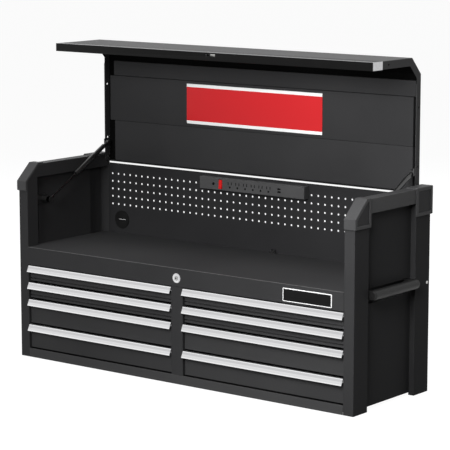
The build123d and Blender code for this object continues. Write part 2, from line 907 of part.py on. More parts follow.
# Eight drawers: the right column is drawn and the left one is its mirror image.
cabinet_members = []
row_low = bottom_rail_height
for number, height, grooved in zip(range(len(row_heights), 0, -1), row_heights, grooved_rows):
    row_high = row_low + height
    middle_z = row_low + drawer_gap + slide_lift
    outer_slide = slide_members(inner, -1, middle_z)
    centre_slide = slide_members(mullion_half, 1, middle_z)
    columns = zip(
        ("right", "left"),
        pair(tray(row_low, row_high, grooved)),
        pair(drawer_pull(row_high)),
        zip(*(pair(slide[1]) for slide in (outer_slide, centre_slide))),
        zip(*(pair(slide[2]) for slide in (outer_slide, centre_slide))),
    )
    for side, box, pull, middles, rails in columns:
        save(f"{side}_tray_{number}", box, *rails)
        save(f"{side}_pull_{number}", pull)
        save(f"{side}_mid_slides_{number}", *middles)
    for slide in (outer_slide, centre_slide):
        cabinet_members += pair(slide[0])
    row_low = row_high
save("cabinet_slides", *cabinet_members)

save("lid_shell", lid_shell())
save("lid_pull", lid_pull())
save("lid_closing_strip", lid_closing_strip())
# The lid's inner panels hang down from the chamfer, and the lower one fills what is left.
liner_wide = lid_half - liner_edge_inset
liner_left = liner_notch_inset - lid_half
liner_right = lid_half - liner_right_inset
stiffener_high = lid_top - lid_chamfer_run - stiffener_drop
stiffener_low = stiffener_high - stiffener_height
liner_high = stiffener_low - stiffener_gap
liner_split = liner_high - liner_upper_height
stiffener_depth = liner_depth + stiffener_proud
save("lid_stiffener", lid_pan(liner_left, liner_right, stiffener_low, stiffener_high, stiffener_depth))
liner_low = skirt_z + sheet + liner_low_lift
save("lid_upper_liner", lid_pan(-liner_wide, liner_wide, liner_split + liner_seam, liner_high, liner_depth))
save("lid_lower_liner", lid_pan(liner_left, liner_wide, liner_low, liner_split, liner_depth))
save("lid_pivot_bolts", *pair(pivot_bolt()))

right_tube, left_tube = pair(strut_cylinder())
save("right_strut_cylinder", right_tube)
save("left_strut_cylinder", left_tube)
right_rod, left_rod = pair(strut_rod())
save("right_strut_rod", right_rod)
save("left_strut_rod", left_rod)
save("strut_body_brackets", *pair(strut_body_bracket()))
save("strut_lid_brackets", *pair(strut_lid_bracket()))

save("lock_housing", lock_housing())
save("lock_plug", lock_plug())
save("lock_bar", lock_bar())
save("power_strip", power_strip())
save("power_switch", rocker())
save("reset_button", reset_button())
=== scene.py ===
import json
from math import pi, radians

import bpy
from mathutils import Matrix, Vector

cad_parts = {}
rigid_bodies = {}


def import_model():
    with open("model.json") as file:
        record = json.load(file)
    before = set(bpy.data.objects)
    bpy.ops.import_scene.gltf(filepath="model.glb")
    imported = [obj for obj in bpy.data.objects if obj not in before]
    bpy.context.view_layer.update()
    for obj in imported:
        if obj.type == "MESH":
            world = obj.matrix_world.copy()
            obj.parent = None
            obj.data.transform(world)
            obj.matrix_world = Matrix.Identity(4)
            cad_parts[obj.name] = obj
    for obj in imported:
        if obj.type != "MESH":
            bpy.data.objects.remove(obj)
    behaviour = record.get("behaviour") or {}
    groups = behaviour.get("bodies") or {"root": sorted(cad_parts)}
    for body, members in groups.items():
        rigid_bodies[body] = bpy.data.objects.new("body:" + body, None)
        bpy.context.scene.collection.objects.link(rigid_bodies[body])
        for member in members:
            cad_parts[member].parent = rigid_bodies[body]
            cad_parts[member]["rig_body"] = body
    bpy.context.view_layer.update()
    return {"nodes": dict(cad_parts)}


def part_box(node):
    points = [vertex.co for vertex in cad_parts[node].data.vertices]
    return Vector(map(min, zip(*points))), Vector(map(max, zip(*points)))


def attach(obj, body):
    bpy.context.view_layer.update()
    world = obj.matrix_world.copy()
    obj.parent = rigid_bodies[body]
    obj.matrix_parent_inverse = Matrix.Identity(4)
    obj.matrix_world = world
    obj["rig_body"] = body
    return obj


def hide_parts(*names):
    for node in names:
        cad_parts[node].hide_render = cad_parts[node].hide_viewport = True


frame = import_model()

bpy.ops.object.select_all(action="DESELECT")

# Sheet-steel ends
# Each end is folded from one steel sheet into a front post, a rear post and a top rail,
# with a recessed wall welded between them. It is powder coated in satin black, which leaves
# a very fine orange peel and slow changes of tone over the large flats.
tone_spots = (0.3, 0.7)


def grain_group():
    """Fine grain for the relief, and slow patches for the tone and the gloss."""
    group = bpy.data.node_groups.new("surface_grain", "ShaderNodeTree")
    group.interface.new_socket("Place", in_out="INPUT", socket_type="NodeSocketVector")
    for name in ("Grain Scale", "Patch Scale"):
        group.interface.new_socket(name, in_out="INPUT", socket_type="NodeSocketFloat")
    for name in ("Grain", "Patch"):
        group.interface.new_socket(name, in_out="OUTPUT", socket_type="NodeSocketFloat")
    start = group.nodes.new("NodeGroupInput")
    end = group.nodes.new("NodeGroupOutput")
    for output, scale, detail in (("Grain", "Grain Scale", 2), ("Patch", "Patch Scale", 4)):
        noise = group.nodes.new("ShaderNodeTexNoise")
        noise.inputs["Detail"].default_value = detail
        group.links.new(start.outputs["Place"], noise.inputs["Vector"])
        group.links.new(start.outputs[scale], noise.inputs["Scale"])
        group.links.new(noise.outputs["Fac"], end.inputs[output])
    return group


surface_grain = grain_group()


def shader_of(material):
    """The material's own shader, where values that are the same all over are set."""
    return material.node_tree.nodes["Principled BSDF"]


def finish(name, tones, gloss, grain, patch, relief, shine=0.5, metal=0, stretch=(1, 1, 1)):
    """A finish with patchy tone and gloss, and a grain that can be drawn out along an axis."""
    material = bpy.data.materials.new(name)
    material.use_nodes = True
    nodes, links = material.node_tree.nodes, material.node_tree.links
    shader = shader_of(material)
    shader.inputs["Specular IOR Level"].default_value = shine
    shader.inputs["Metallic"].default_value = metal
    place = nodes.new("ShaderNodeTexCoord")
    drawn = nodes.new("ShaderNodeMapping")
    drawn.inputs["Scale"].default_value = stretch
    links.new(place.outputs["Object"], drawn.inputs["Vector"])
    surface = nodes.new("ShaderNodeGroup")
    surface.name = "surface"
    surface.node_tree = surface_grain
    surface.inputs["Grain Scale"].default_value = grain
    surface.inputs["Patch Scale"].default_value = patch
    links.new(drawn.outputs["Vector"], surface.inputs["Place"])
    tone = nodes.new("ShaderNodeValToRGB")
    for element, colour, spot in zip(tone.color_ramp.elements, tones, tone_spots):
        element.color = (*colour, 1)
        element.position = spot
    links.new(surface.outputs["Patch"], tone.inputs["Fac"])
    links.new(tone.outputs["Color"], shader.inputs["Base Color"])
    rough = nodes.new("ShaderNodeMapRange")
    rough.inputs["To Min"].default_value, rough.inputs["To Max"].default_value = gloss
    links.new(surface.outputs["Patch"], rough.inputs["Value"])
    links.new(rough.outputs["Result"], shader.inputs["Roughness"])
    bump = nodes.new("ShaderNodeBump")
    bump.inputs["Distance"].default_value = relief
    links.new(surface.outputs["Grain"], bump.inputs["Height"])
    links.new(bump.outputs["Normal"], shader.inputs["Normal"])
    return material


def powder_coat(name, tones, shine=0.02):
    """A satin powder coat, as on all the outer sheet."""
    return finish(name, tones, gloss=(0.44, 0.52), grain=620, patch=3.5, relief=0.00012, shine=shine)


def dress(material, *names):
    """Gives CAD nodes their finish."""
    for name in names:
        mesh = frame["nodes"][name].data
        mesh.materials.clear()
        mesh.materials.append(material)


black_coat = powder_coat("black_powder_coat", ((0.030, 0.030, 0.031), (0.036, 0.036, 0.037)))
dress(black_coat, "left_end_panel", "right_end_panel")

# Screws in the rear posts
# One zinc-plated pan-head screw holds each end's wall to its rear post. The head is turned
# and has a cross recess.
screw_radius = 0.0046
screw_height = 0.0026
screw_round = 0.00182
screw_y = 0.185
screw_z = 0.335
cross_length = 0.0052
cross_width = 0.0012
cross_turn = 0.3
sides = (("right", 1), ("left", -1))
smooth_angle = radians(35)
tolerance = 1e-5

zinc = finish(
    "zinc_plate",
    ((0.55, 0.55, 0.54), (0.66, 0.66, 0.64)),
    gloss=(0.26, 0.4),
    grain=900,
    patch=60,
    relief=0.00002,
    metal=1,
)


def settle(piece):
    """Puts a piece's place into its mesh, so that its object sits at the origin."""
    bpy.ops.object.select_all(action="DESELECT")
    piece.select_set(True)
    bpy.context.view_layer.objects.active = piece
    bpy.ops.object.transform_apply(location=True, rotation=True, scale=True)


def pick(piece, kind, test):
    """Opens a piece for editing with the faces, or edges, whose middles and directions pass a test."""
    bpy.context.view_layer.objects.active = piece
    bpy.ops.object.mode_set(mode="EDIT")
    bpy.ops.mesh.select_mode(type=kind)
    bpy.ops.mesh.select_all(action="DESELECT")
    bpy.ops.object.mode_set(mode="OBJECT")
    mesh = piece.data
    if kind == "FACE":
        for face in mesh.polygons:
            face.select = test(face.center, face.normal)
    else:
        for edge in mesh.edges:
            start, end = (mesh.vertices[n].co for n in edge.vertices)
            edge.select = test((start + end) / 2, (end - start).normalized())
    bpy.ops.object.mode_set(mode="EDIT")


def close_up(piece):
    """Leaves edit mode and shades the round faces smooth."""
    bpy.ops.object.mode_set(mode="OBJECT")
    bpy.ops.object.select_all(action="DESELECT")
    piece.select_set(True)
    bpy.context.view_layer.objects.active = piece
    bpy.ops.object.shade_smooth_by_angle(angle=smooth_angle)


def carve(piece, tool):
    """Cuts a tool's shape out of a piece and removes the tool."""
    cut = piece.modifiers.new("cut", "BOOLEAN")
    cut.operation = "DIFFERENCE"
    cut.object = tool
    bpy.context.view_layer.objects.active = piece
    bpy.ops.object.modifier_apply(modifier=cut.name)
    bpy.data.objects.remove(tool)


def seat(piece, body, material):
    """Fixes a finished piece to its body with its finish."""
    piece.data.materials.clear()
    piece.data.materials.append(material)
    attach(piece, body)


end_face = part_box("right_end_panel")[1].x
head_x = end_face + screw_height
for side, sign in sides:
    bpy.ops.mesh.primitive_cylinder_add(
        vertices=32,
        radius=screw_radius,
        depth=screw_height,
        location=(sign * (end_face + screw_height / 2), screw_y, screw_z),
        rotation=(0, pi / 2, 0),
    )
    screw = bpy.context.active_object
    screw.name = f"{side}_post_screw"
    settle(screw)
    pick(screw, "EDGE", lambda middle, way: abs(abs(middle.x) - head_x) < tolerance)
    bpy.ops.mesh.bevel(offset=screw_round, segments=4, affect="EDGES")
    bpy.ops.object.mode_set(mode="OBJECT")
    for turn in (cross_turn, cross_turn + pi / 2):
        bpy.ops.mesh.primitive_cube_add(
            size=1, location=(sign * head_x, screw_y, screw_z), rotation=(turn, 0, 0)
        )
        slit = bpy.context.active_object
        slit.scale = (screw_height, cross_length, cross_width)
        settle(slit)
        carve(screw, slit)
    close_up(screw)
    seat(screw, "case", zinc)

# Base pan, centre divider and slide uprights
# The floor under the drawers is one sheet whose front edge is turned up into the bottom rail.
# The hollow centre divider and the uprights are folded channels, coated with the case.
# The inner faces of the pan, like those of the lid, are coloured near black as painted shade.
merge_gap = 1e-6
flat_angle = radians(1)
sharp_angle = radians(40)
sheet_ease = 0.0003
aligned_cosine = 0.9


def eased(name, width, material):
    """A copy of a CAD node with its sharp edges eased, which stands for the node."""
    node = frame["nodes"][name]
    piece = bpy.data.objects.new(f"{name}_eased", node.data.copy())
    bpy.context.scene.collection.objects.link(piece)
    bpy.ops.object.select_all(action="DESELECT")
    piece.select_set(True)
    bpy.context.view_layer.objects.active = piece
    bpy.ops.mesh.customdata_custom_splitnormals_clear()
    bpy.ops.object.mode_set(mode="EDIT")
    bpy.ops.mesh.select_all(action="SELECT")
    bpy.ops.mesh.remove_doubles(threshold=merge_gap)
    bpy.ops.mesh.dissolve_limited(angle_limit=flat_angle)
    bpy.ops.object.mode_set(mode="OBJECT")
    bevel = piece.modifiers.new("eased_edges", "BEVEL")
    bevel.width = width
    bevel.segments = 2
    bevel.limit_method = "ANGLE"
    bevel.angle_limit = sharp_angle
    bpy.ops.object.modifier_apply(modifier=bevel.name)
    bpy.ops.object.shade_smooth_by_angle(angle=smooth_angle)
    piece.data.materials.clear()
    piece.data.materials.append(material)
    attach(piece, node["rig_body"])
    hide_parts(name)
    return piece


def keep_flat(piece):
    """Keeps the shading of a piece's large flats even up to their eased edges."""
    bpy.context.view_layer.objects.active = piece
    even = piece.modifiers.new("even_flats", "WEIGHTED_NORMAL")
    even.keep_sharp = True
    bpy.ops.object.modifier_apply(modifier=even.name)


def face_finish(piece, material, test):
    """Gives a further finish to the faces of a piece whose middles and normals pass a test."""
    piece.data.materials.append(material)
    for face in piece.data.polygons:
        if test(face.center, face.normal):
            face.material_index = len(piece.data.materials) - 1


def inside_base(middle, normal):
    """Whether a face lies inside the base pan, on its floor or behind its rail."""
    return normal.z > aligned_cosine or (normal.y > aligned_cosine and middle.y < 0)


# The base pan's coat is the case's paint made paler, as painted light from the floor's bounce on the bottom
# rail.
lit_rail_coat = powder_coat("rail_powder_coat", ((0.047, 0.047, 0.048), (0.054, 0.054, 0.055)))
# Near-black painted shade for the pan's floor and the back of its rail, and for the inside of the lid.
painted_shade_coat = finish(
    "black_primer",
    ((0.002, 0.002, 0.002), (0.004, 0.004, 0.004)),
    gloss=(0.6, 0.7),
    grain=620,
    patch=3.5,
    relief=0.00012,
    shine=0.01,
)
base_pan = eased("base_pan", sheet_ease, lit_rail_coat)
keep_flat(base_pan)
# The pan's floor and the back of its rail get the painted shade, darkening the gap under the drawers.
face_finish(base_pan, painted_shade_coat, inside_base)
dress(black_coat, "centre_divider", "slide_uprights")

# Back panel and cable grommet
# The back is a flat coated sheet with five rows of round peg holes, riveted to the rear posts
# and to the floor. A split rubber grommet lets a cord through at the left.
rivet_radius = 0.0034
rivet_height = 0.0016
rivet_round = 0.00096
rivet_rows = 6
rivet_columns = 8
rivet_inset = 0.012

# The back panel's coat is the case's paint made darker, as painted shade at the back of the till.
shaded_panel_coat = powder_coat("panel_powder_coat", ((0.021, 0.021, 0.022), (0.026, 0.026, 0.027)))
dress(shaded_panel_coat, "back_panel")
panel_low, panel_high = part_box("back_panel")


def rivet(name, x, z):
    """A flat-topped rivet on the outside of the back panel."""
    bpy.ops.mesh.primitive_cylinder_add(
        vertices=16,
        radius=rivet_radius,
        depth=rivet_height,
        location=(x, panel_high.y + rivet_height / 2, z),
        rotation=(pi / 2, 0, 0),
    )
    piece = bpy.context.active_object
    piece.name = name
    settle(piece)
    pick(piece, "EDGE", lambda middle, way: abs(middle.y - panel_high.y - rivet_height) < tolerance)
    bpy.ops.mesh.bevel(offset=rivet_round, segments=2, affect="EDGES")
    close_up(piece)
    seat(piece, "case", black_coat)


rivet_x = panel_high.x - rivet_inset
rivet_low = panel_low.z + rivet_inset
rivet_rise = (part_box("rear_caps")[0].z - rivet_inset - rivet_low) / (rivet_rows - 1)
for row in range(rivet_rows):
    for side, sign in sides:
        rivet(f"{side}_back_rivet_{row + 1}", sign * rivet_x, rivet_low + row * rivet_rise)
rivet_step = 2 * rivet_x / (rivet_columns + 1)
for column in range(rivet_columns):
    rivet(f"bottom_back_rivet_{column + 1}", (column + 1) * rivet_step - rivet_x, rivet_low)

rubber = finish(
    "grommet_rubber",
    ((0.008, 0.008, 0.008), (0.013, 0.013, 0.013)),
    gloss=(0.42, 0.54),
    grain=1400,
    patch=30,
    relief=0.0001,
    shine=0.1,
)
dress(rubber, "cable_grommet")

# Till deck and fascia
# The deck is a flat coated sheet hemmed along its front edge. The fascia hangs under it,
# folded back above and below, with a plain blank plate glued on near its right end.
plate_left = 0.398
plate_right = 0.572
plate_low = 0.308
plate_high = 0.348
plate_thickness = 0.0012
plate_corner = 0.003
plate_rim = 0.0022
rim_step = 0.000275
rim_depth = 0.0003
rim_reach = 0.00264
soft_share = 0.4
square_cosine = 0.99

dress(black_coat, "till_deck", "fascia")
plate_face = finish(
    "blank_plate_black",
    ((0.004, 0.004, 0.004), (0.006, 0.006, 0.006)),
    gloss=(0.3, 0.38),
    grain=500,
    patch=20,
    relief=0.00003,
    shine=0.08,
)
plate_edge = finish(
    "blank_plate_rim",
    ((0.74, 0.74, 0.74), (0.82, 0.82, 0.82)),
    gloss=(0.3, 0.38),
    grain=900,
    patch=40,
    relief=0.00002,
)


def block(name, x, y, z):
    """A box between two places along each axis."""
    bpy.ops.mesh.primitive_cube_add(size=1)
    piece = bpy.context.active_object
    piece.name = name
    piece.location = (sum(x) / 2, sum(y) / 2, sum(z) / 2)
    piece.scale = (x[1] - x[0], y[1] - y[0], z[1] - z[0])
    settle(piece)
    return piece


def soften_front(piece, y):
    """Rounds the front edges of a plate that fills a stretch along Y."""
    pick(piece, "EDGE", lambda middle, way: abs(middle.y - y[0]) < tolerance)
    bpy.ops.mesh.bevel(offset=(y[1] - y[0]) * soft_share, segments=2, affect="EDGES")
    close_up(piece)


def blank_plate(name, x, y, z, corner):
    """A thin plate facing the front, with rounded corners and softened front edges."""
    piece = block(name, x, y, z)
    pick(piece, "EDGE", lambda middle, way: abs(way.y) > aligned_cosine)
    bpy.ops.mesh.bevel(offset=corner, segments=5, affect="EDGES")
    soften_front(piece, y)
    return piece


def on_rim(middle, normal):
    """Whether a face is on the plate's pale rim, outside its black field."""
    inside_x = plate_left + rim_reach < middle.x < plate_right - rim_reach
    inside_z = plate_low + rim_reach < middle.z < plate_high - rim_reach
    return not (inside_x and inside_z)


fascia_low, fascia_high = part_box("fascia")
plate = blank_plate(
    "fascia_plate",
    (plate_left, plate_right),
    (fascia_low.y - plate_thickness, fascia_low.y),
    (plate_low, plate_high),
    plate_corner,
)
pick(plate, "FACE", lambda middle, normal: normal.y < -square_cosine)
bpy.ops.mesh.inset(thickness=plate_rim, depth=0)
bpy.ops.mesh.inset(thickness=rim_step, depth=-rim_depth)
close_up(plate)
seat(plate, "case", plate_face)
face_finish(plate, plate_edge, on_rim)

# Deck nosing and cord clip
# A thin nosing, its coat paler than the sheet's as a painted highlight along the edge, is pressed
# over the deck's front hem. At the back of the deck a small moulded clip with two arches for a cord
# is stuck down by its foot.
nosing_lip = 0.0005
nosing_reach = 0.0026
clip_x = (0.064, 0.089)
clip_depth = 0.012
clip_set_back = 0.004
clip_foot = 0.0015
clip_corner = 0.0005
arch_shares = (0.28, 0.72)
arch_radius = 0.0052
arch_wire = 0.0013

# The nosing's paler grey is a painted highlight along the deck's front edge.
nosing_coat = finish(
    "nosing_coat",
    ((0.060, 0.060, 0.061), (0.075, 0.075, 0.076)),
    gloss=(0.4, 0.5),
    grain=700,
    patch=30,
    relief=0.00008,
)
deck_low, deck_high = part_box("till_deck")
nosing = blank_plate(
    "deck_nosing",
    (fascia_low.x, fascia_high.x),
    (deck_low.y - nosing_lip, deck_low.y + nosing_reach),
    (deck_low.z, deck_high.z + nosing_lip),
    nosing_lip,
)
seat(nosing, "case", nosing_coat)
clip_plastic = finish(
    "clip_plastic",
    ((0.010, 0.010, 0.010), (0.015, 0.015, 0.015)),
    gloss=(0.4, 0.5),
    grain=1500,
    patch=40,
    relief=0.00008,
)
clip_back = panel_low.y - clip_set_back
clip = blank_plate(
    "cord_clip_foot",
    clip_x,
    (clip_back - clip_depth, clip_back),
    (deck_high.z, deck_high.z + clip_foot),
    clip_corner,
)
seat(clip, "case", clip_plastic)
for number, share in enumerate(arch_shares, 1):
    bpy.ops.mesh.primitive_torus_add(
        major_radius=arch_radius,
        minor_radius=arch_wire,
        major_segments=32,
        minor_segments=10,
        location=(
            clip_x[0] + share * (clip_x[1] - clip_x[0]),
            clip_back - clip_depth / 2,
            deck_high.z + clip_foot + arch_radius,
        ),
        rotation=(0, pi / 2, 0),
    )
    arch = bpy.context.active_object
    arch.name = f"cord_clip_arch_{number}"
    settle(arch)
    close_up(arch)
    seat(arch, "case", clip_plastic)

# Corner caps
# The rail ends are capped by injection-moulded corners in dark grey plastic with a coarse
# spark-eroded texture and a shallow, smoother recess in the side, its floor coloured darker as painted
# shade.
cap_ease = 0.0005
recess_margin = 0.001

cap_moulding = finish(
    "cap_moulding",
    ((0.038, 0.038, 0.039), (0.049, 0.049, 0.050)),
    gloss=(0.55, 0.68),
    grain=520,
    patch=8,
    relief=0.0006,
    shine=0.2,
)
# The recess floor's darker colour is painted shade inside the recess.
recess_moulding = finish(
    "recess_moulding",
    ((0.019, 0.019, 0.020), (0.024, 0.024, 0.025)),
    gloss=(0.5, 0.6),
    grain=520,
    patch=8,
    relief=0.0004,
    shine=0.1,
)
recess_x = (end_face + recess_margin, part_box("front_caps")[1].x - recess_margin)


def in_recess(middle, normal):
    """Whether a face is the floor of the recess in a cap's side."""
    return abs(normal.x) > square_cosine and recess_x[0] < abs(middle.x) < recess_x[1]


for name in ("front_caps", "rear_caps"):
    cap = eased(name, cap_ease, cap_moulding)
    keep_flat(cap)
    face_finish(cap, recess_moulding, in_recess)

# Rail covers
# Between the caps each top rail wears a thin angle of the same textured plastic, clipped over its
# top and its outer face.
cover_wall = 0.0016
cover_round = 0.00144
cover_gap = 0.0008
lid_room = 0.0045
rail_low = 0.5796

rail_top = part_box("right_end_panel")[1].z
cover_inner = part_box("lid_shell")[1].x + lid_room
cover_x = (cover_inner, end_face + cover_wall)
cover_y = (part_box("front_caps")[1].y + cover_gap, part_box("rear_caps")[0].y - cover_gap)
cover_z = (rail_low, rail_top + cover_wall)
room_x = (cover_inner - cover_wall, end_face)
room_y = (cover_y[0] - cover_wall, cover_y[1] + cover_wall)
room_z = (rail_low - cover_wall, rail_top)


def on_side(sign, x):
    """A stretch along X, given for the right side, or its mirror image where the sign is negative."""
    return tuple(sorted(sign * place for place in x))


def on_cover_bend(middle, way):
    """Whether an edge runs along the bend between the cover's top and its side, outside or inside."""
    return abs(way.y) > aligned_cosine and abs(middle.x) + middle.z > end_face + rail_top - tolerance


for side, sign in sides:
    cover = block(f"{side}_rail_cover", on_side(sign, cover_x), cover_y, cover_z)
    room = block(f"{side}_rail_room", on_side(sign, room_x), room_y, room_z)
    carve(cover, room)
    pick(cover, "EDGE", on_cover_bend)
    bpy.ops.mesh.bevel(offset=cover_round, segments=4, affect="EDGES")
    close_up(cover)
    seat(cover, "case", cap_moulding)

# Side handles
# Each handle is a hollow moulded roll carried on two feet, screwed through the wall over the hand
# pocket. The plastic is smooth and black. A thin black rubber strip along the top of the pocket is painted
# shade.
shade_strip_y = (-0.094, 0.112)
shade_strip_z = (0.3562, 0.3590)
shade_strip_thickness = 0.0009

grip_moulding = finish(
    "grip_moulding",
    ((0.010, 0.010, 0.010), (0.014, 0.014, 0.014)),
    gloss=(0.4, 0.5),
    grain=1500,
    patch=12,
    relief=0.00008,
    shine=0.2,
)
dress(grip_moulding, "left_handle", "right_handle")
pocket_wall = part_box("right_handle")[0].x
shade_strip_x = (pocket_wall, pocket_wall + shade_strip_thickness)
# The black strip stands for the shade under the pocket's top edge.
for side, sign in sides:
    shade_strip = block(f"{side}_pocket_lip", on_side(sign, shade_strip_x), shade_strip_y, shade_strip_z)
    pick(shade_strip, "EDGE", lambda middle, way: abs(abs(middle.x) - shade_strip_x[1]) < tolerance)
    bpy.ops.mesh.bevel(offset=shade_strip_thickness * soft_share, segments=2, affect="EDGES")
    close_up(shade_strip)
    seat(shade_strip, "case", rubber)

# Drawers on their slides
# Each drawer is a coated tray on ball-bearing slides of bright zinc-plated steel, three members
# to a side. A full-width pull of drawn aluminium is hooked over its front. Its flat face is coloured
# in bands of painted light: painted shade above its middle and painted highlights along both edges.
drawers_in_column = 4
pull_ease = 0.0005
light_band_shares = (0.22, 0.56, 0.88)
leaning_cosine = 0.3


def aluminium(name, tones, gloss):
    """Aluminium with fine lines along the way in which its profile was drawn."""
    drawn_along_x = (0.01, 1, 1)
    return finish(
        name, tones, gloss, grain=500, patch=90, relief=0.00002, metal=1, stretch=drawn_along_x
    )


drawn_aluminium = aluminium("drawn_aluminium", ((0.70, 0.70, 0.71), (0.79, 0.79, 0.80)), (0.3, 0.42))
shaded_aluminium = aluminium("shaded_aluminium", ((0.58, 0.58, 0.59), (0.65, 0.65, 0.66)), (0.3, 0.42))
worn_aluminium = aluminium("worn_aluminium", ((0.86, 0.86, 0.87), (0.94, 0.94, 0.95)), (0.2, 0.3))
pull_finishes = (drawn_aluminium, shaded_aluminium, worn_aluminium)
# Bands of the pull's face from the lowest: painted highlight, plain, painted shade, painted highlight.
light_band_finishes = (worn_aluminium, drawn_aluminium, shaded_aluminium, worn_aluminium)
# The trays' coat is the case's paint made paler, as painted light on the drawer fronts.
lit_tray_coat = powder_coat("tray_powder_coat", ((0.037, 0.037, 0.038), (0.044, 0.044, 0.045)))
dress(zinc, "cabinet_slides")
for side in ("left", "right"):
    for number in range(1, drawers_in_column + 1):
        dress(lit_tray_coat, f"{side}_tray_{number}")
        dress(zinc, f"{side}_mid_slides_{number}")
        pull = eased(f"{side}_pull_{number}", pull_ease, drawn_aluminium)
        for metal in pull_finishes[1:]:
            pull.data.materials.append(metal)
        band_low, band_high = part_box(f"{side}_pull_{number}")
        band_edges = [band_low.z + share * (band_high.z - band_low.z) for share in light_band_shares]
        for band_edge in band_edges:
            pick(pull, "FACE", lambda middle, normal: True)
            bpy.ops.mesh.bisect(plane_co=(0, 0, band_edge), plane_no=(0, 0, 1))
        close_up(pull)
        # Each band of the pull's face gets its painted highlight, plain aluminium or painted shade.
        for face in pull.data.polygons:
            if face.normal.y < -leaning_cosine:
                bands_below = sum(face.center.z > band_edge for band_edge in band_edges)
                face.material_index = pull_finishes.index(light_band_finishes[bands_below])

# Lock
# A chromed cam lock sits in the middle of the fascia: a turned bezel on a barrel over a washer, a
# plug with a dark shutter over its keyway, and behind it the bar whose tongue rises into the lid.
bezel_ease = 0.0012
plug_ease = 0.0004
washer_radius = 0.0148
washer_bore = 0.0100
washer_thickness = 0.0012
shutter_radius = 0.0026
shutter_proud = 0.0002
shutter_thickness = 0.0006

chrome = finish(
    "lock_chrome",
    ((0.66, 0.66, 0.67), (0.78, 0.78, 0.79)),
    gloss=(0.14, 0.24),
    grain=1200,
    patch=120,
    relief=0.00001,
    metal=1,
)
plug_steel = finish(
    "plug_steel",
    ((0.46, 0.46, 0.46), (0.56, 0.56, 0.56)),
    gloss=(0.3, 0.4),
    grain=1200,
    patch=120,
    relief=0.00001,
    metal=1,
)
shutter_black = finish(
    "shutter_black",
    ((0.004, 0.004, 0.004), (0.008, 0.008, 0.008)),
    gloss=(0.4, 0.5),
    grain=1400,
    patch=60,
    relief=0.00002,
    shine=0.03,
)
eased("lock_housing", bezel_ease, chrome)
eased("lock_plug", plug_ease, plug_steel)
dress(zinc, "lock_bar")


def round_plate(name, x, y, z, radius):
    """A thin round plate facing the front, with a softened rim."""
    bpy.ops.mesh.primitive_cylinder_add(
        vertices=40,
        radius=radius,
        depth=y[1] - y[0],
        location=(x, sum(y) / 2, z),
        rotation=(pi / 2, 0, 0),
    )
    piece = bpy.context.active_object
    piece.name = name
    settle(piece)
    soften_front(piece, y)
    return piece


housing_low, housing_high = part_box("lock_housing")
lock_z = (housing_low.z + housing_high.z) / 2
washer_y = (fascia_low.y - washer_thickness, fascia_low.y)
washer = round_plate("lock_washer", 0, washer_y, lock_z, washer_radius)
bore_y = (washer_y[0] - washer_thickness, washer_y[1] + washer_thickness)
bore = round_plate("washer_bore", 0, bore_y, lock_z, washer_bore)
carve(washer, bore)
close_up(washer)
seat(washer, "case", chrome)
plug_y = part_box("lock_plug")[0].y
shutter_y = (plug_y - shutter_proud, plug_y - shutter_proud + shutter_thickness)
shutter = round_plate("key_shutter", 0, shutter_y, lock_z, shutter_radius)
seat(shutter, "lock_plug_body", shutter_black)

# Power strip
# The strip is a two-part moulding in dark grey plastic, hung on the pegboard: six outlets with
# shutters, two charging ports, a red rocker switch and a small black reset button.
rocker_ease = 0.0006
button_ease = 0.0007
insert_x = (-0.098, 0.094)
insert_margin = 0.004
insert_corner = 0.002
insert_set_back = 0.0007
insert_thickness = 0.002
port_back_x = (0.070, 0.125)
port_back_gap = 0.0005
outlet_count = 6
outlet_x = -0.0836
outlet_pitch = 0.0305
slot_spread = 0.0127
slot_rise = 0.005
slot_width = 0.0032
slot_height = 0.0092
ground_drop = 0.007
ground_radius = 0.0036

strip_moulding = finish(
    "strip_moulding",
    ((0.050, 0.050, 0.051), (0.060, 0.060, 0.061)),
    gloss=(0.5, 0.6),
    grain=1100,
    patch=10,
    relief=0.0001,
    shine=0.2,
)
socket_black = finish(
    "socket_black",
    ((0.004, 0.004, 0.004), (0.007, 0.007, 0.007)),
    gloss=(0.5, 0.6),
    grain=1100,
    patch=20,
    relief=0.0001,
    shine=0.05,
)
rocker_red = finish(
    "rocker_red",
    ((0.44, 0.006, 0.006), (0.52, 0.009, 0.008)),
    gloss=(0.26, 0.34),
    grain=800,
    patch=60,
    relief=0.00004,
    shine=0.2,
)
dress(strip_moulding, "power_strip")
eased("power_switch", rocker_ease, rocker_red)
eased("reset_button", button_ease, socket_black)

strip_low, strip_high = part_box("power_strip")
insert_y = strip_low.y + insert_set_back
insert_z = (strip_low.z + insert_margin, strip_high.z - insert_margin)
socket_insert = blank_plate(
    "socket_insert", insert_x, (insert_y, insert_y + insert_thickness), insert_z, insert_corner
)
seat(socket_insert, "case", socket_black)
port_back_y = (strip_high.y - insert_thickness, strip_high.y - port_back_gap)
port_back = blank_plate("port_back", port_back_x, port_back_y, insert_z, insert_corner)
seat(port_back, "case", socket_black)
outlet_y = (strip_low.y - shutter_proud, strip_low.y + shutter_thickness)
strip_middle = (strip_low.z + strip_high.z) / 2
slot_middle = strip_middle + slot_rise
slot_z = (slot_middle - slot_height / 2, slot_middle + slot_height / 2)
ground_z = strip_middle - ground_drop
for number in range(outlet_count):
    outlet = f"outlet_{number + 1}"
    centre = outlet_x + number * outlet_pitch
    for side, sign in reversed(sides):
        slot_x = centre + sign * slot_spread / 2
        shutter_x = (slot_x - slot_width / 2, slot_x + slot_width / 2)
        shutter = blank_plate(f"{outlet}_{side}_shutter", shutter_x, outlet_y, slot_z, shutter_thickness)
        seat(shutter, "case", shutter_black)
    ground = round_plate(f"{outlet}_ground_shutter", centre, outlet_y, ground_z, ground_radius)
    seat(ground, "case", shutter_black)

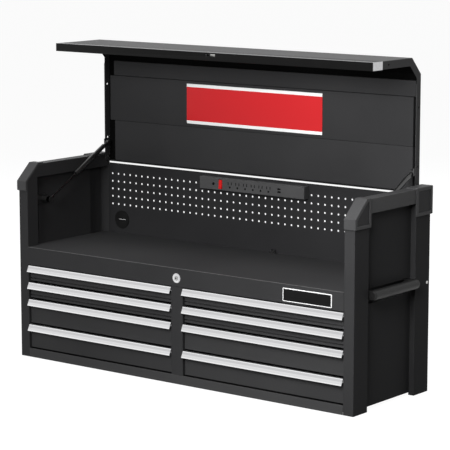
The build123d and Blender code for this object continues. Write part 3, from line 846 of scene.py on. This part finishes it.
# Lid
# The lid is a chamfered pan of coated sheet with a flange at each end. Inside it has two folded
# liners and a stiffener, spot welded, and an aluminium extrusion closed by a black strip in front.
pan_inside = 0.605
canopy_low = 0.9
inward_cosine = 0.5
liner_ease = 0.0006
strip_ease = 0.0008
pull_paint_line = 0.006

lid_coat = powder_coat("lid_powder_coat", ((0.029, 0.029, 0.030), (0.035, 0.035, 0.036)), shine=0.12)
sawn_aluminium = finish(
    "sawn_aluminium",
    ((0.50, 0.50, 0.51), (0.60, 0.60, 0.61)),
    gloss=(0.4, 0.52),
    grain=900,
    patch=120,
    relief=0.00004,
    metal=1,
)
strip_plastic = finish(
    "closing_strip_plastic",
    ((0.002, 0.002, 0.002), (0.003, 0.003, 0.003)),
    gloss=(0.45, 0.55),
    grain=1200,
    patch=16,
    relief=0.00008,
    shine=0.12,
)


def inside_lid(middle, normal):
    """Whether a face lies inside the lid's pan, on its large wall, its chamfer or its front wall."""
    faces_in = normal.y < -inward_cosine or (normal.z < -inward_cosine and middle.z > canopy_low)
    return faces_in and abs(middle.x) < pan_inside


lid_shell = eased("lid_shell", sheet_ease, lid_coat)
keep_flat(lid_shell)
# The inner faces of the lid's pan get the near-black painted shade, for the shadow under the canopy.
face_finish(lid_shell, painted_shade_coat, inside_lid)
for name in ("lid_lower_liner", "lid_upper_liner", "lid_stiffener"):
    eased(name, liner_ease, black_coat)
lid_pull = eased("lid_pull", pull_ease, drawn_aluminium)
pull_low, pull_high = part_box("lid_pull")
painted_y = pull_low.y + pull_paint_line
painted_z = pull_high.z - pull_paint_line


def on_painted_top(middle, normal):
    """Whether a face is on the part of the pull's top that is coated with the lid."""
    return normal.z > leaning_cosine and middle.z > painted_z and middle.y > painted_y


pick(lid_pull, "FACE", lambda middle, normal: True)
bpy.ops.mesh.bisect(plane_co=(0, painted_y, 0), plane_no=(0, 1, 0))
close_up(lid_pull)
face_finish(lid_pull, lid_coat, on_painted_top)
face_finish(lid_pull, sawn_aluminium, lambda middle, normal: abs(normal.x) > aligned_cosine)
eased("lid_closing_strip", strip_ease, strip_plastic)

# Lock keeper and edge strips on the lid
# A zinc-plated keeper plate stands behind the slot, inside the pull. The free edge of each end
# flange wears a pressed-on strip of grey plastic, paler than the lid's coat as a painted highlight.
keeper_half = 0.030
keeper_set_back = 0.0125
keeper_thickness = 0.0015
keeper_margin = 0.0026
highlight_strip_x = (0.6071, 0.6097)
highlight_strip_lip = 0.0008
highlight_strip_reach = 0.0055
highlight_strip_z = (0.602, 0.925)
flange_width = 0.024

keeper_y = pull_low.y + keeper_set_back
keeper = blank_plate(
    "lock_keeper",
    (-keeper_half, keeper_half),
    (keeper_y, keeper_y + keeper_thickness),
    (pull_low.z + keeper_margin, pull_high.z - keeper_margin),
    keeper_thickness,
)
seat(keeper, "lid", zinc)
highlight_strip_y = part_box("lid_shell")[1].y - flange_width - highlight_strip_lip
for side, sign in sides:
    highlight_strip = blank_plate(
        f"{side}_flange_guard",
        on_side(sign, highlight_strip_x),
        (highlight_strip_y, highlight_strip_y + highlight_strip_reach),
        highlight_strip_z,
        highlight_strip_lip,
    )
    # The strip's paler grey is a painted highlight along the flange's edge.
    seat(highlight_strip, "lid", cap_moulding)

# Sign plate on the lid
# A blank enamelled steel plate is glued to the middle of the upper liner: red, with a white
# band along its top and bottom edges.
sign_left = -0.267
sign_right = 0.264
sign_low = 0.747
sign_high = 0.875
sign_thickness = 0.0015
sign_corner = 0.002
sign_band = 0.010
sign_red = (0.55, 0.021, 0.025)
sign_white = (0.86, 0.86, 0.86)

sign_enamel = finish(
    "sign_enamel", (sign_red, sign_red), gloss=(0.3, 0.36), grain=700, patch=6, relief=0.00003, shine=0.15
)
sign_nodes, sign_links = sign_enamel.node_tree.nodes, sign_enamel.node_tree.links
sign_place = sign_nodes.new("ShaderNodeTexCoord")
sign_axes = sign_nodes.new("ShaderNodeSeparateXYZ")
sign_links.new(sign_place.outputs["Object"], sign_axes.inputs["Vector"])
sign_height = sign_nodes.new("ShaderNodeMapRange")
sign_height.inputs["From Min"].default_value = sign_low
sign_height.inputs["From Max"].default_value = sign_high
sign_links.new(sign_axes.outputs["Z"], sign_height.inputs["Value"])
sign_bands = sign_nodes.new("ShaderNodeValToRGB")
sign_bands.color_ramp.interpolation = "CONSTANT"
band_share = sign_band / (sign_high - sign_low)
sign_bands.color_ramp.elements[0].color = (*sign_white, 1)
sign_bands.color_ramp.elements[1].position = band_share
sign_bands.color_ramp.elements[1].color = (*sign_red, 1)
sign_bands.color_ramp.elements.new(1 - band_share).color = (*sign_white, 1)
sign_links.new(sign_height.outputs["Result"], sign_bands.inputs["Fac"])
sign_links.new(sign_bands.outputs["Color"], shader_of(sign_enamel).inputs["Base Color"])

liner_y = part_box("lid_upper_liner")[0].y
sign_plate = blank_plate(
    "lid_sign_plate",
    (sign_left, sign_right),
    (liner_y - sign_thickness, liner_y),
    (sign_low, sign_high),
    sign_corner,
)
seat(sign_plate, "lid", sign_enamel)

# Lid pivots and gas struts
# The lid turns on a shouldered bolt at each rear end. Two gas struts hold it up: a black painted
# tube at the lid's flange, and a black nitrided rod on a bracket pin at the case end.
strut_paint = finish(
    "strut_paint",
    ((0.008, 0.008, 0.008), (0.012, 0.012, 0.012)),
    gloss=(0.26, 0.34),
    grain=900,
    patch=20,
    relief=0.00004,
    shine=0.9,
)
rod_steel = finish(
    "rod_steel",
    ((0.05, 0.05, 0.052), (0.08, 0.08, 0.083)),
    gloss=(0.16, 0.26),
    grain=1200,
    patch=80,
    relief=0.00001,
    metal=1,
)
dress(zinc, "lid_pivot_bolts")
dress(strut_paint, "strut_body_brackets", "strut_lid_brackets")
dress(strut_paint, "left_strut_cylinder", "right_strut_cylinder")
dress(rod_steel, "left_strut_rod", "right_strut_rod")

# Studio
# A plain pale floor and a white surround, soft boxes at the front, the front right, behind and
# overhead, and the camera at the photograph's angle.
floor_size = 90.0
floor_tone = (0.10, 0.10, 0.10)
floor_glow = 0.955
surround_light = 0.058
white = (1, 1, 1, 1)
camera_place = (3.8611, -4.9312, 1.4904)
camera_aim = (-0.60524, 0.77952, -0.16137)
camera_lens = 164.39
camera_sensor = 36

bpy.ops.object.select_all(action="DESELECT")
bpy.ops.mesh.primitive_plane_add(size=floor_size, location=(0, 0, 0))
floor = bpy.context.active_object
floor.name = "studio_floor"


def seen_directly(nodes, links):
    """One where the camera, a reflection or glass shows the surface, and zero elsewhere."""
    path = nodes.new("ShaderNodeLightPath")
    first = nodes.new("ShaderNodeMath")
    first.operation = "ADD"
    links.new(path.outputs["Is Camera Ray"], first.inputs[0])
    links.new(path.outputs["Is Glossy Ray"], first.inputs[1])
    second = nodes.new("ShaderNodeMath")
    second.operation = "ADD"
    second.use_clamp = True
    links.new(first.outputs["Value"], second.inputs[0])
    links.new(path.outputs["Is Transmission Ray"], second.inputs[1])
    return second.outputs["Value"]


floor_paper = bpy.data.materials.new("floor_paper")
floor_paper.use_nodes = True
paper_nodes, paper_links = floor_paper.node_tree.nodes, floor_paper.node_tree.links
paper = shader_of(floor_paper)
paper.inputs["Base Color"].default_value = (*floor_tone, 1)
paper.inputs["Roughness"].default_value = 1
paper.inputs["Specular IOR Level"].default_value = 0
paper.inputs["Emission Color"].default_value = white
paper_glow = paper_nodes.new("ShaderNodeMath")
paper_glow.operation = "MULTIPLY"
paper_glow.inputs[1].default_value = floor_glow
paper_links.new(seen_directly(paper_nodes, paper_links), paper_glow.inputs[0])
paper_links.new(paper_glow.outputs["Value"], paper.inputs["Emission Strength"])
floor.data.materials.append(floor_paper)

surround = bpy.data.worlds.new("studio_surround")
surround.use_nodes = True
bpy.context.scene.world = surround
sky_nodes, sky_links = surround.node_tree.nodes, surround.node_tree.links
sky = sky_nodes["Background"]
sky.inputs["Color"].default_value = white
sky_level = sky_nodes.new("ShaderNodeMapRange")
sky_level.inputs["To Min"].default_value = surround_light
sky_level.inputs["To Max"].default_value = 1
sky_links.new(seen_directly(sky_nodes, sky_links), sky_level.inputs["Value"])
sky_links.new(sky_level.outputs["Result"], sky.inputs["Strength"])


def aim(thing, direction):
    """Turns a lamp or a camera to look along a direction."""
    thing.rotation_euler = Vector(direction).to_track_quat("-Z", "Y").to_euler()


def soft_light(name, place, target, width, power, spread=180):
    """A square soft box that points at a place on the object, with a grid that narrows its beam."""
    lamp = bpy.data.lights.new(name, "AREA")
    lamp.size = width
    lamp.energy = power
    lamp.spread = radians(spread)
    box = bpy.data.objects.new(name, lamp)
    box.location = place
    aim(box, Vector(target) - Vector(place))
    box.visible_camera = False
    box.visible_glossy = False
    bpy.context.scene.collection.objects.link(box)


soft_light("front_light", place=(-0.1, -2.7, 1.4), target=(0.1, 0, 0.5), width=1.4, power=60)
soft_light("right_light", place=(1.0, -1.3, 1.2), target=(0.70, 0.2, 0.45), width=0.7, power=7.5, spread=92)
soft_light("rear_light", place=(-1.8, 2.5, 2.8), target=(0, 0.2, 0.4), width=1.8, power=130)
soft_light("top_light", place=(0.2, -1.0, 4.2), target=(0, -0.1, 0.4), width=2.4, power=100)

camera = bpy.data.cameras.new("photo_camera")
camera.sensor_width = camera_sensor
camera.lens = camera_lens
eye = bpy.data.objects.new("photo_camera", camera)
eye.location = camera_place
aim(eye, camera_aim)
bpy.context.scene.collection.objects.link(eye)
bpy.context.scene.camera = eye
bpy.context.scene.view_settings.view_transform = "Standard"
